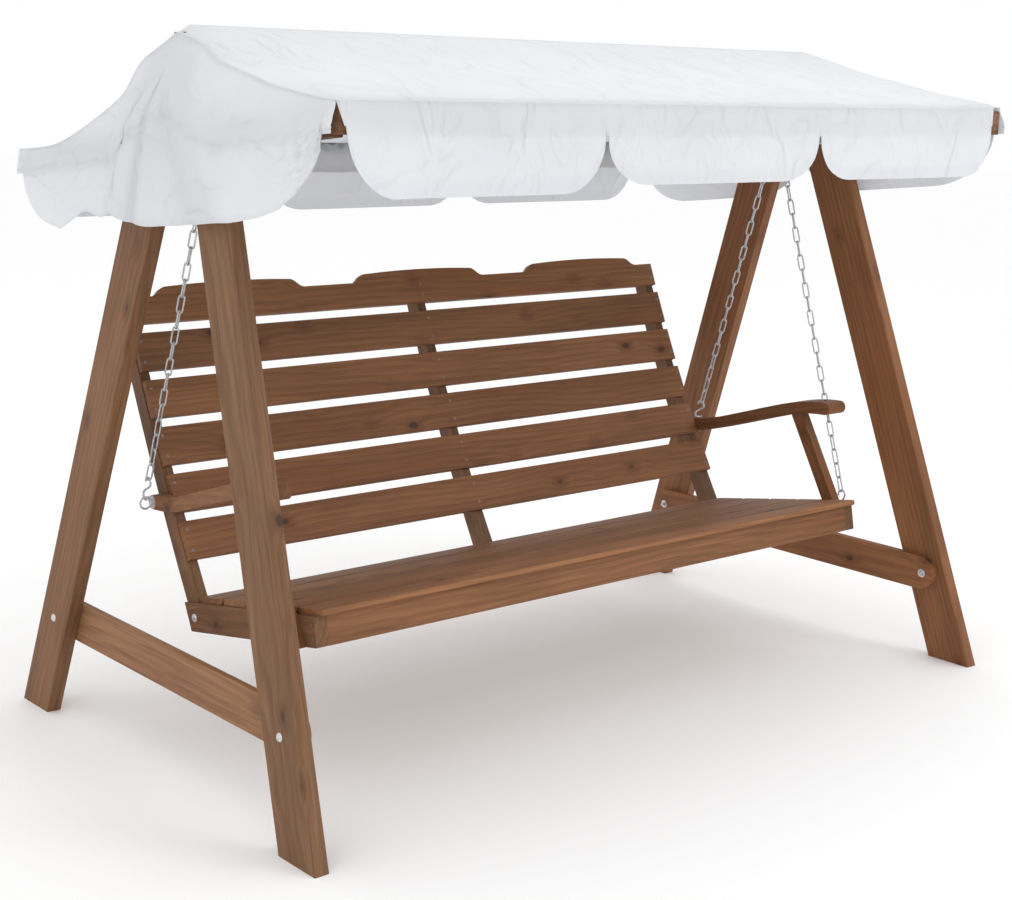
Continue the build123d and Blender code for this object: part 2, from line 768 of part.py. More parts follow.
def side_bolt_set():
    """The carriage bolt through side rail and stile, and its nut."""
    y, z = SIDE_BOLT
    bolt = Pos(SEAT_X, y, z) * carriage_bolt(SEAT_X - (STILE_X - STILE_THICK) + 10.0)
    hexagon = Pos(STILE_X - STILE_THICK, y, z) * nut(BOLT)
    return bolt, hexagon


# ---------------------------------------------------------------- writing
def write_frame():
    frame_sets = frame_fasteners()
    bolt, ring, hexagon = beam_fasteners()
    right_bolts = [piece for piece in frame_sets["leg_bolts"] if piece.center().X > 0]
    for side in ("left", "right"):
        for end in ("front", "rear"):
            timber = bored(leg(end), right_bolts + [bolt] + beam_bolt_pockets())
            write(on_side(timber, side), "leg_" + end + "_" + side)
        write(on_side(bored(crossbar(), right_bolts), side), "crossbar_" + side)
        arm = bored(canopy_arm(), right_bolts + canopy_screws())
        write(on_side(arm, side), "canopy_arm_" + side)
        write(on_side(beam_hook(), side), "hook_" + side)
    holes = [bolt, on_side(bolt, "left"), beam_hook(), on_side(beam_hook(), "left")]
    write(bored(top_beam(), holes), "top_beam")
    for end in ("front", "rear"):
        write(bored(canopy_rail(end), canopy_screws()), "canopy_rail_" + end)
        write(roof_panel(end), "canopy_roof_" + end)
        write(valance(end), "canopy_valance_" + end)
    for side in ("left", "right"):
        write(gable(side), "canopy_gable_" + side)
    frame_sets["frame_washers"] += [ring, on_side(ring, "left")]
    frame_sets["frame_nuts"] += [hexagon, on_side(hexagon, "left")]
    for kind, pieces in frame_sets.items():
        write_group(pieces, kind)
    write_group([bolt, on_side(bolt, "left")], "beam_bolts")
    write_group(canopy_screws(), "canopy_rail_screws")


def write_bench():
    slat_screws = seat_screws()
    board_screws = back_screws()
    rail_screws = [screw for screws in slat_screws.values() for screw in screws]
    stile_screws = [screw for screws in board_screws.values() for screw in screws]
    side_bolt, side_nut = side_bolt_set()
    eyes = {end: eye_bolt(end) for end in ("front", "rear")}
    right_rail_tools = [tool for tool in rail_screws + apron_screws() if tool.center().X > 100]
    right_stile_screws = [tool for tool in stile_screws if tool.center().X > 100]
    middle_screws = [tool for tool in rail_screws if abs(tool.center().X) < 100]
    middle_stile_screws = [tool for tool in stile_screws if abs(tool.center().X) < 100]
    rail = bored(side_rail(), right_rail_tools + [side_bolt, eyes["front"]])
    stile = bored(outer_stile(), right_stile_screws + [side_bolt, eyes["rear"]])
    arm = bored(armrest(), [eyes["rear"]])
    post = bored(arm_post(), [eyes["front"]])
    for side in ("left", "right"):
        write(on_side(rail, side), "side_rail_" + side)
        write(on_side(stile, side), "stile_" + side)
        write(on_side(arm, side), "armrest_" + side)
        write(on_side(post, side), "arm_post_" + side)
        for end in ("front", "rear"):
            write_group([on_side(piece, side) for piece in chain(end)], "chain_" + end + "_" + side)
    half = SEAT_X - SIDE_THICK
    front_board = seat_board(0, APRON_THICK, -SIDE_HIGH, 0, -half, half)
    write(bored(front_board, apron_screws() + middle_screws), "apron")
    write(bored(middle_bearer(), middle_screws), "middle_bearer")
    write(bored(middle_stile(), middle_stile_screws), "stile_middle")
    for index in range(SEAT_SLAT_COUNT):
        write(bored(seat_slat(index), slat_screws[index]), "seat_slat_" + str(index + 1))
    for index in range(BACK_SLAT_COUNT):
        write(bored(back_slat(index), board_screws[index]), "back_slat_" + str(index + 1))
    write(bored(crest_rail(), board_screws[BACK_SLAT_COUNT]), "crest_rail")
    ends = ("front", "rear")
    sides = ("left", "right")
    write_group([on_side(eyes[end], side) for end in ends for side in sides], "eye_bolts")
    write_group([on_side(eye_washer(end), side) for end in ends for side in sides], "eye_bolt_washers")
    write_group([on_side(eye_nut(end), side) for end in ends for side in sides], "eye_bolt_nuts")
    write_group([on_side(s_hook(end), side) for end in ends for side in sides], "s_hooks")
    write_group([on_side(side_bolt, side) for side in sides], "seat_bolts")
    write_group([on_side(side_nut, side) for side in sides], "seat_bolt_nuts")
    write_group(rail_screws, "seat_slat_screws")
    write_group(stile_screws, "back_slat_screws")
    write_group(apron_screws(), "apron_screws")


os.makedirs("parts", exist_ok=True)
write_frame()
write_bench()
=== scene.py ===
import math

import bpy
from mathutils import Matrix, Vector, noise


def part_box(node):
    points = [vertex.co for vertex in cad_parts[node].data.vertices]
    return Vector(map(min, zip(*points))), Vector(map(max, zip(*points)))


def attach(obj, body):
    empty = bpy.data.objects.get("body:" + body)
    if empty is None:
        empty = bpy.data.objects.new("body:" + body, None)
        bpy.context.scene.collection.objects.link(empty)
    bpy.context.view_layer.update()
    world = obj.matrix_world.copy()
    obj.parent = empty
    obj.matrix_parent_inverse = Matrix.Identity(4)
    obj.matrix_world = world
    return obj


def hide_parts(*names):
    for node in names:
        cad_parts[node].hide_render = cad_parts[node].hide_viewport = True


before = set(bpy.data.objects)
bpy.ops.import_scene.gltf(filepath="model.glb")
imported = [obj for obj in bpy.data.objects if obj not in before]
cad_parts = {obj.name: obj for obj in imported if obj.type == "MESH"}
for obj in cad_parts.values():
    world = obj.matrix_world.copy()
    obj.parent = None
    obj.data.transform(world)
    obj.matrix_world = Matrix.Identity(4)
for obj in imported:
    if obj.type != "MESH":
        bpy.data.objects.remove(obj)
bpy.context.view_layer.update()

# Looks of a garden swing seat.  Metres, in the frame of the CAD part.

# ---------------------------------------------------------------- choices
VALANCE = 0.168            # hanging depth of the front and rear flaps
BAND = 0.066               # cloth above the slits between the flaps
FRONT_FLAPS = (-1.030, -0.360, 0.320, 1.012)     # ends of the flaps and the slits between them
REAR_FLAPS = (-1.010, -0.345, 0.325, 1.020)
FIRST_FLAP = 0.015         # how much deeper the left front flap hangs
END_HOLD = 0.7             # share of the band left at the free ends of the outer flaps
SLEEVE_HALF = 1.000        # half length of the sleeves sewn round the rails
SLEEVE_GAP = 0.004         # cloth of a sleeve clear of its rail
RIDGE_DRAWN_IN = 0.036     # how far the left end of the ridge is pulled in
GABLE_OUT = 0.003          # nearest the gables come to the canopy arms, past the roof edge
GABLE_SWING = 0.090        # furthest they swing out
FLAP_ROUND = 0.115         # half length of the rounded corner of a flap
SIDE_FLAP = 0.124          # depth of the side flaps under their seam
SIDE_ROUND = 0.19          # half length of the rounded corner of a right side flap
SLIT = 0.003               # half width of a slit
CLOTH_STEP = 0.020         # distance between neighbouring points of the cloth
LEFT_SLIT = 0.270          # how far behind the ridge the slit of the left gable is
LEFT_FLAP = 0.150          # depth of its flaps under the seam
LEFT_HELD = 0.120          # cloth that its folds keep closed above the slit
LEFT_ROUND = 0.300         # half length of the rounded corner of its flaps
LEFT_LIFT = 0.080          # how far its folds lift the seam under the ridge
LIFT_HALF = 0.250          # half length of that lift
OVER_RAIL = 0.003          # cloth above the top of a rail
FLAP_CLEAR = 0.026         # side flaps clear of the rails
FRONT_DROOP = 0.006        # sag of the front slope, and how much more at its left end
FRONT_DROOP_LEFT = 0.020
REAR_DROOP = 0.010         # the same for the rear slope, which also sags at its right end
REAR_DROOP_LEFT = 0.062
REAR_DROOP_RIGHT = 0.012
SLOW_CREASE = 0.0050       # heights of the broad, the fine and the sharp creases of the roof
QUICK_CREASE = 0.0026
SHARP_CREASE = 0.0030
CORNER_IN = 0.016          # how far the front right corner is pulled in, and up
CORNER_UP = 0.006
RIDGE_FALL = 0.40          # fall of the ridge line for each metre past the end of the beam
PLEAT = 0.215              # outward swings of the left gable's folds, as shares of the drop
GROOVE = 0.060
CREASE = 0.040
BEHIND = 0.050
RIPPLE = 0.018
FLAP_ROWS = 9              # rows of faces down a hanging flap
GABLE_ROWS = 22            # and down a gable
AREA_STRIPS = 400          # strips used to add up the cut area
CORNER_SHARES = (0.0, 0.03, 0.08, 0.16, 0.28, 0.42, 0.6, 0.8, 1.0)    # closer where the corner turns fast

CAMERA_PLACE = (-2.9209, -3.342, 1.5432)    # Y is from the ridge
CAMERA_LENS = 62.453
CAMERA_YAW = 40.446
CAMERA_PITCH = 11.701
CAMERA_ROLL = 1.3226

# ---------------------------------------------------------------- sizes read from the frame
rail_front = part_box("canopy_rail_front")
rail_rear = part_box("canopy_rail_rear")
roof_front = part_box("canopy_roof_front")
roof_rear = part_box("canopy_roof_rear")
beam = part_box("top_beam")
cloth_half = roof_front[1].x
ridge_y = (beam[0].y + beam[1].y) / 2
ridge_z = roof_front[1].z
front_y = roof_front[0].y
front_z = rail_front[1].z + OVER_RAIL
rear_y = roof_rear[1].y
rear_z = rail_rear[1].z + OVER_RAIL
rail_high = rail_front[1].z - rail_front[0].z



# ================================================================ shader helpers
class Nodes:
    """A small wrapper that adds and links shader nodes of one material."""

    def __init__(self, name):
        self.material = bpy.data.materials.new(name)
        self.material.use_nodes = True
        self.tree = self.material.node_tree
        self.shader = self.tree.nodes["Principled BSDF"]
        self.output = self.tree.nodes["Material Output"]

    def add(self, kind, values=None, **settings):
        node = self.tree.nodes.new(kind)
        for key, value in settings.items():
            setattr(node, key, value)
        for key, value in (values or {}).items():
            if isinstance(value, bpy.types.NodeSocket):
                self.tree.links.new(value, node.inputs[key])
            else:
                node.inputs[key].default_value = value
        return node

    def math(self, operation, a, b=0.0, clamp=False):
        node = self.add("ShaderNodeMath", {0: a, 1: b}, operation=operation)
        node.use_clamp = clamp
        return node.outputs[0]

    def ramp(self, value, stops):
        node = self.add("ShaderNodeValToRGB", {"Fac": value})
        elements = node.color_ramp.elements
        while len(elements) < len(stops):
            elements.new(0.5)
        for element, (place, colour) in zip(elements, stops):
            element.position = place
            element.color = (*colour, 1.0)
        return node.outputs["Color"]

    def level(self, value, low, high):
        """0 below low, 1 above high, smooth between."""
        node = self.add(
            "ShaderNodeMapRange",
            {"Value": value, "From Min": low, "From Max": high},
            interpolation_type="SMOOTHSTEP",
        )
        return node.outputs["Result"]

    def mix(self, factor, a, b, blend="MIX"):
        node = self.add("ShaderNodeMix", {"Factor": factor}, data_type="RGBA", blend_type=blend)
        for key, value in ((6, a), (7, b)):
            if isinstance(value, bpy.types.NodeSocket):
                self.tree.links.new(value, node.inputs[key])
            else:
                node.inputs[key].default_value = (*value, 1.0)
        return node.outputs[2]

    def link(self, socket, shader_input):
        self.tree.links.new(socket, self.shader.inputs[shader_input])

    def bump(self, height, strength, distance, normal=None):
        values = {"Height": height, "Strength": strength, "Distance": distance}
        if normal is not None:
            values["Normal"] = normal
        return self.add("ShaderNodeBump", values).outputs["Normal"]


# ================================================================ wood
def wood(name, along, seed, light=1.0, warmth=0.0):
    """Brown stained pine with grain along a direction, knots, open pores and worn patches."""
    n = Nodes(name)
    direction = Vector(along).normalized()
    turn = direction.to_track_quat("X", "Z").inverted().to_euler()
    coords = n.add("ShaderNodeTexCoord").outputs["Object"]
    shift = (seed * 1.37 % 5.0, seed * 0.61 % 3.0, seed * 0.83 % 3.0)
    placed = n.add("ShaderNodeMapping", {"Vector": coords, "Rotation": turn, "Location": shift}).outputs[0]

    # knots: a few sparse cells, stretched a little along the grain
    knot_space = n.add("ShaderNodeMapping", {"Vector": placed, "Scale": (0.62, 1.0, 1.0)}).outputs[0]
    cells = n.add("ShaderNodeTexVoronoi", {"Vector": knot_space, "Scale": 11.0, "Randomness": 0.95})
    chosen = n.add("ShaderNodeSeparateColor", {"Color": cells.outputs["Color"]}).outputs["Red"]
    has_knot = n.level(chosen, 0.26, 0.28)
    closeness = n.math("SUBTRACT", 1.0, n.math("MULTIPLY", cells.outputs["Distance"], 2.0), clamp=True)
    near_knot = n.math("MULTIPLY", n.math("POWER", closeness, 2.0), has_knot)
    core = n.math("MULTIPLY", n.level(closeness, 0.74, 0.86), has_knot)

    # growth rings around an off-centre pith, pushed aside by the knots
    sway = n.add("ShaderNodeMapping", {"Vector": placed, "Scale": (1.1, 4.0, 4.0)}).outputs[0]
    sway = n.add("ShaderNodeTexNoise", {"Vector": sway, "Scale": 1.6, "Detail": 2.0}).outputs["Fac"]
    pith = n.add("ShaderNodeMapping", {"Vector": placed, "Scale": (0.10, 1.0, 1.0)}).outputs[0]
    parts = n.add("ShaderNodeSeparateXYZ", {"Vector": pith})
    y = n.math("ADD", parts.outputs["Y"], n.math("MULTIPLY", sway, 0.06))
    z = n.math("ADD", parts.outputs["Z"], n.math("MULTIPLY", sway, 0.05))
    radius = n.math("SQRT", n.math("ADD", n.math("MULTIPLY", y, y), n.math("MULTIPLY", z, z)))
    radius = n.math("ADD", radius, n.math("MULTIPLY", parts.outputs["X"], 0.22))
    pushed = n.math("ADD", radius, n.math("MULTIPLY", near_knot, 0.022))
    rings = n.math("FRACT", n.math("MULTIPLY", pushed, 62.0))
    late_wood = n.math("SUBTRACT", n.level(rings, 0.15, 0.85), n.level(rings, 0.88, 1.0))

    # long fibres and pores
    fibre_space = n.add("ShaderNodeMapping", {"Vector": placed, "Scale": (6.0, 260.0, 260.0)}).outputs[0]
    fibres = n.add("ShaderNodeTexNoise", {"Vector": fibre_space, "Scale": 1.0, "Detail": 3.0}).outputs["Fac"]
    patch_space = n.add("ShaderNodeMapping", {"Vector": placed, "Scale": (1.0, 6.0, 6.0)}).outputs[0]
    patches = n.add("ShaderNodeTexNoise", {"Vector": patch_space, "Scale": 1.7, "Detail": 3.0}).outputs["Fac"]

    grain = n.math("ADD", n.math("MULTIPLY", late_wood, 0.10), n.math("MULTIPLY", fibres, 0.42))
    grain = n.math("ADD", grain, n.math("MULTIPLY", patches, 0.62))

    def shade(r, g, b):
        return (r * light * (1 + warmth), g * light, b * light * (1 - warmth))

    pale = shade(0.205, 0.098, 0.044)
    brown = shade(0.142, 0.066, 0.029)
    dark = shade(0.084, 0.037, 0.017)
    colour = n.ramp(grain, [(0.40, pale), (0.60, brown), (0.84, dark)])
    amber = n.math("MULTIPLY", n.level(patches, 0.56, 0.74), 0.45)
    colour = n.mix(amber, colour, shade(0.235, 0.094, 0.032))
    halo = n.math("MULTIPLY", n.level(closeness, 0.35, 0.80), has_knot)
    colour = n.mix(n.math("MULTIPLY", halo, 0.55), colour, shade(0.090, 0.036, 0.016))
    colour = n.mix(n.math("MULTIPLY", core, 0.85), colour, shade(0.032, 0.014, 0.008))
    n.link(colour, "Base Color")

    rough = n.math("ADD", 0.52, n.math("MULTIPLY", fibres, 0.22))
    n.link(n.math("SUBTRACT", rough, n.math("MULTIPLY", core, 0.12)), "Roughness")
    n.shader.inputs["Specular IOR Level"].default_value = 0.32
    height = n.math("ADD", n.math("MULTIPLY", fibres, 0.5), n.math("MULTIPLY", late_wood, 0.3))
    height = n.math("ADD", height, n.math("MULTIPLY", core, -0.6))
    n.link(n.bump(height, 0.35, 0.0012), "Normal")
    return n.material


# ================================================================ steel
def steel(name, tone, rough, spangle=0.12):
    """Galvanised steel: cloudy zinc, fine crystals and slight dirt."""
    n = Nodes(name)
    coords = n.add("ShaderNodeTexCoord").outputs["Object"]
    clouds = n.add("ShaderNodeTexNoise", {"Vector": coords, "Scale": 160.0, "Detail": 4.0}).outputs["Fac"]
    crystals = n.add("ShaderNodeTexVoronoi", {"Vector": coords, "Scale": 420.0}).outputs["Color"]
    grey = n.add("ShaderNodeSeparateColor", {"Color": crystals}).outputs["Red"]
    mixed = n.math("ADD", n.math("MULTIPLY", clouds, 0.7), n.math("MULTIPLY", grey, 0.3))
    low = tuple(c * (1 - spangle * 2.0) for c in tone)
    high = tuple(min(1.0, c * (1 + spangle)) for c in tone)
    n.link(n.ramp(mixed, [(0.30, low), (0.70, high)]), "Base Color")
    n.shader.inputs["Metallic"].default_value = 0.85
    n.link(n.math("ADD", rough, n.math("MULTIPLY", clouds, 0.25)), "Roughness")
    n.link(n.bump(mixed, 0.25, 0.0004), "Normal")
    return n.material


# ================================================================ cloth
def cloth_material():
    """White woven awning cloth: fine weave, pressed creases, sewn seams, a little light through it."""
    n = Nodes("white_awning_cloth")
    coords = n.add("ShaderNodeTexCoord").outputs["Object"]
    weave_x = n.add(
        "ShaderNodeTexWave", {"Vector": coords, "Scale": 260.0}, bands_direction="X"
    ).outputs["Fac"]
    weave_z = n.add(
        "ShaderNodeTexWave", {"Vector": coords, "Scale": 260.0}, bands_direction="Z"
    ).outputs["Fac"]
    weave = n.math("MULTIPLY", weave_x, weave_z)
    soft_space = n.add("ShaderNodeMapping", {"Vector": coords, "Scale": (3.2, 2.0, 3.0)}).outputs[0]
    soft = n.add("ShaderNodeTexNoise", {"Vector": soft_space, "Scale": 1.6, "Detail": 3.0}).outputs["Fac"]
    sharp_space = n.add("ShaderNodeMapping", {"Vector": coords, "Scale": (7.0, 3.0, 5.0)}).outputs[0]
    sharp = n.add(
        "ShaderNodeTexNoise",
        {"Vector": sharp_space, "Scale": 1.3, "Detail": 2.0, "Distortion": 0.8},
    ).outputs["Fac"]
    centred = n.math("SUBTRACT", n.math("MULTIPLY", sharp, 2.0), 1.0)
    ridge = n.math("SUBTRACT", 1.0, n.math("ABSOLUTE", centred))
    ridge = n.math("POWER", ridge, 5.0)
    seam = n.add("ShaderNodeAttribute", attribute_name="seam").outputs["Fac"]
    tone = n.ramp(soft, [(0.3, (0.765, 0.785, 0.815)), (0.7, (0.805, 0.825, 0.850))])
    tone = n.mix(n.math("MULTIPLY", seam, 0.30), tone, (0.62, 0.64, 0.68))
    n.link(tone, "Base Color")
    n.shader.inputs["Roughness"].default_value = 0.82
    n.shader.inputs["Specular IOR Level"].default_value = 0.2
    n.shader.inputs["Sheen Weight"].default_value = 0.15
    big = n.bump(n.math("ADD", n.math("MULTIPLY", soft, 0.7), n.math("MULTIPLY", ridge, 0.3)), 0.55, 0.03)
    sewn = n.bump(seam, 0.6, 0.003, big)
    fine = n.bump(weave, 0.12, 0.0004, sewn)
    n.link(fine, "Normal")
    glow = n.add("ShaderNodeBsdfTranslucent", {"Color": (0.85, 0.88, 0.94, 1.0)})
    both = n.add("ShaderNodeMixShader", {0: 0.22, 1: n.shader.outputs[0], 2: glow.outputs[0]})
    n.tree.links.new(both.outputs[0], n.output.inputs["Surface"])
    return n.material


# ================================================================ canopy cloth
def between(low, high, share):
    """The value a share of the way from low to high."""
    return low + (high - low) * share


def smooth(value):
    """0 below 0, 1 above 1, and an S-curve between."""
    value = max(0.0, min(1.0, value))
    return value * value * (3 - 2 * value)


def wave(x, y, z):
    """Smooth noise about 0, the same at every run."""
    return noise.noise(Vector((x, y, z)))


def flap_depth(place, edges, top, full, rounding):
    """Depth of a hanging edge cut into flaps between the given edges, with rounded corners."""
    for low, high in zip(edges, edges[1:]):
        if low <= place <= high:
            nearest = low if place - low < high - place else high
            start = top if nearest in edges[1:-1] else top * END_HOLD
            edge = max(0.0, abs(place - nearest) - SLIT)
            share = 1 - min(1.0, edge / rounding)
            return start + (full - start) * math.sqrt(max(0.0, 1 - share * share))
    return 0.0


def roof_share(y):
    """How far Y is down a slope: -1 at the front edge, 0 at the ridge, 1 at the rear edge."""
    if y < ridge_y:
        return -(y - ridge_y) / (front_y - ridge_y)
    return (y - ridge_y) / (rear_y - ridge_y)


def sag(share):
    """0 at both supports and 1 between them, lowest nearer the outer support."""
    return math.sin(math.pi * share ** 1.15)


def roof_point(x, share):
    """Top of the cloth; share runs from -1 at the front edge over 0 at the ridge to 1 at the rear edge."""
    side = x / cloth_half
    over = max(0.0, abs(x) - beam[1].x)
    off_beam = smooth((abs(share) - 0.16) / 0.15)    # the cloth lies on the beam, so it sags only past it
    if share < 0:
        y = between(ridge_y, front_y, -share)
        z = between(ridge_z, front_z, -share)
        droop = FRONT_DROOP + FRONT_DROOP_LEFT * smooth((-side - 0.72) / 0.28)
    else:
        y = between(ridge_y, rear_y, share)
        z = between(ridge_z, rear_z, share)
        droop = REAR_DROOP + REAR_DROOP_LEFT * smooth((-side - 0.62) / 0.38)
        droop += REAR_DROOP_RIGHT * smooth((side - 0.7) / 0.3)
    z -= droop * sag(abs(share)) * off_beam
    # pulled creases run from the ridge to the edge and fade at the supports
    held = math.sin(math.pi * abs(share)) ** 0.6 if 0 < abs(share) < 1 else 0.0
    slow = wave(x * 5.0 + share * 1.3, share * 0.9, 3.1)
    quick = wave(x * 17.0 + share * 3.0, share * 0.7, 8.2)
    sharp = 1 - abs(wave(x * 7.0 + share * 2.2, share * 0.8, 5.6)) * 3.0
    z += held * (SLOW_CREASE * slow + QUICK_CREASE * quick + SHARP_CREASE * max(0.0, sharp))
    # the front right corner is pulled up and in
    corner = smooth((side - 0.80) / 0.20) * smooth((-share - 0.55) / 0.45)
    x -= CORNER_IN * corner
    z += CORNER_UP * corner
    # the left ridge end is drawn in against the end of the beam
    if side < 0:
        x += RIDGE_DRAWN_IN * smooth((-side - 0.88) / 0.12) * smooth(1 - abs(share) * 1.5)
    # the ridge ends fall a little where the cloth overhangs the beam and the legs
    z -= RIDGE_FALL * over * smooth(1.3 - abs(share) * 2.2)
    return Vector((x, y, z))


def seam_height(y):
    """Height of the straight seam of a gable, one rail depth under the line between the roof's edges."""
    share = (y - front_y) / (rear_y - front_y)
    return between(front_z, rear_z, share) - rail_high


def seam_line(y, side):
    """Height of the seam as it hangs: the folds of the left gable lift it under the ridge."""
    lift = LEFT_LIFT * smooth(1 - abs(y - ridge_y) / LIFT_HALF) if side < 0 else 0.0
    return seam_height(y) + lift


def left_fold(y, drop):
    """Outward swing of the left gable: one deep pleat and lesser folds fanning out from the ridge end."""
    fan = (y - ridge_y) / (0.02 + drop)
    pleat = smooth((fan + 0.12) / 0.74) * (1 - smooth((fan - 0.68) / 0.09))
    groove = math.exp(-(((fan + 0.14) / 0.05) ** 2))
    crease = math.exp(-(((fan - 0.26) / 0.05) ** 2))
    behind = math.exp(-(((fan - 0.95) / 0.10) ** 2))
    front = math.sin(11.0 * fan) * smooth((-fan - 0.30) / 0.25)
    return drop * (PLEAT * pleat - GROOVE * groove - CREASE * crease + BEHIND * behind + RIPPLE * front)


def gable_point(side, y, share, top, bottom):
    """A point of a gable: share is 0 at the roof edge and 1 at the lower edge."""
    z = between(top.z, bottom, share)
    drop = top.z - z
    by_ridge = smooth(1 - abs(y - ridge_y) / 0.35)
    loose = smooth(drop / between(0.05, 0.18, by_ridge))
    out = 0.008 + 0.009 * wave(y * 6.0, z * 2.5, 5.0)
    if side < 0:
        out += left_fold(y, drop) + 0.004 * math.sin(34.0 * y + 6.0 * z) * smooth(drop / 0.2)
    else:
        out += 0.008 * math.sin(11.0 * y) * smooth(drop / 0.25)
    out = max(GABLE_OUT, min(GABLE_SWING, out))
    if side < 0:
        y -= 1.1 * max(0.0, out - 0.012)
    return Vector((between(top.x, side * (cloth_half + out), loose), y, z))


def valance_point(x, end, depth, top):
    """A point of the front or rear flaps at a depth under the edge."""
    loose = smooth(depth / VALANCE)
    phase = 2.0 if end < 0 else 11.0
    swing = 0.006 * loose * math.sin(7.0 * x + phase) + 0.011 * loose * wave(x * 4.2, depth * 5.0, phase)
    dent = 0.009 * loose * wave(x * 9.0, depth * 13.0, phase + 4.0)
    out = max(0.001, 0.003 + swing + dent)
    return Vector((top.x, top.y + end * min(0.016, out), top.z - depth))


def side_flaps(side):
    """Ends of the two flaps under a gable, clear of the rails, and the slit between them."""
    slit = ridge_y + LEFT_SLIT if side < 0 else (front_y + rear_y) / 2
    return (front_y + FLAP_CLEAR, slit, rear_y - FLAP_CLEAR)


def lower_edge(y, side):
    """Bottom of a gable and the flaps under it."""
    edges = side_flaps(side)
    if side > 0:
        return seam_height(y) - flap_depth(y, edges, 0.0, SIDE_FLAP, SIDE_ROUND)
    depth = flap_depth(y, edges, 0.0, LEFT_FLAP, LEFT_ROUND)
    held = LEFT_HELD * smooth(1 - abs(y - edges[1]) / LEFT_ROUND)
    return seam_height(y) - max(depth, held) + 0.003 * wave(y * 12.0, 0.0, 2.0)


def steps(low, high, size, extra):
    """Even places from low to high, with the extra places put in and those too near them left out."""
    count = max(2, round((high - low) / size))
    values = [between(low, high, i / count) for i in range(count + 1)]
    kept = [v for v in values if all(abs(v - e) > size * 0.3 for e in extra)]
    return sorted(set(kept + [e for e in extra if low <= e <= high]))


def flap_marks(edges, rounding):
    """Places where a scalloped edge needs vertices: the slits and the rounded corners."""
    marks = []
    for edge in edges:
        for share in CORNER_SHARES:
            marks += [edge - SLIT - share * rounding, edge + SLIT + share * rounding]
    return [m for m in marks if edges[0] <= m <= edges[-1]] + [edges[0], edges[-1]]


def sleeve_lines(end):
    """(Y, Z under the roof edge) down the inner face of a rail and out under it."""
    rail, edge_y = (rail_front, front_y) if end < 0 else (rail_rear, rear_y)
    inner = rail[1].y + SLEEVE_GAP if end < 0 else rail[0].y - SLEEVE_GAP
    under = rail[0].z - SLEEVE_GAP
    outer = edge_y - end * 0.002
    turn = between(inner, outer, 0.5)
    return inner, [(inner, under + 0.03), (inner, under + 0.004), (turn, under), (outer, under)]


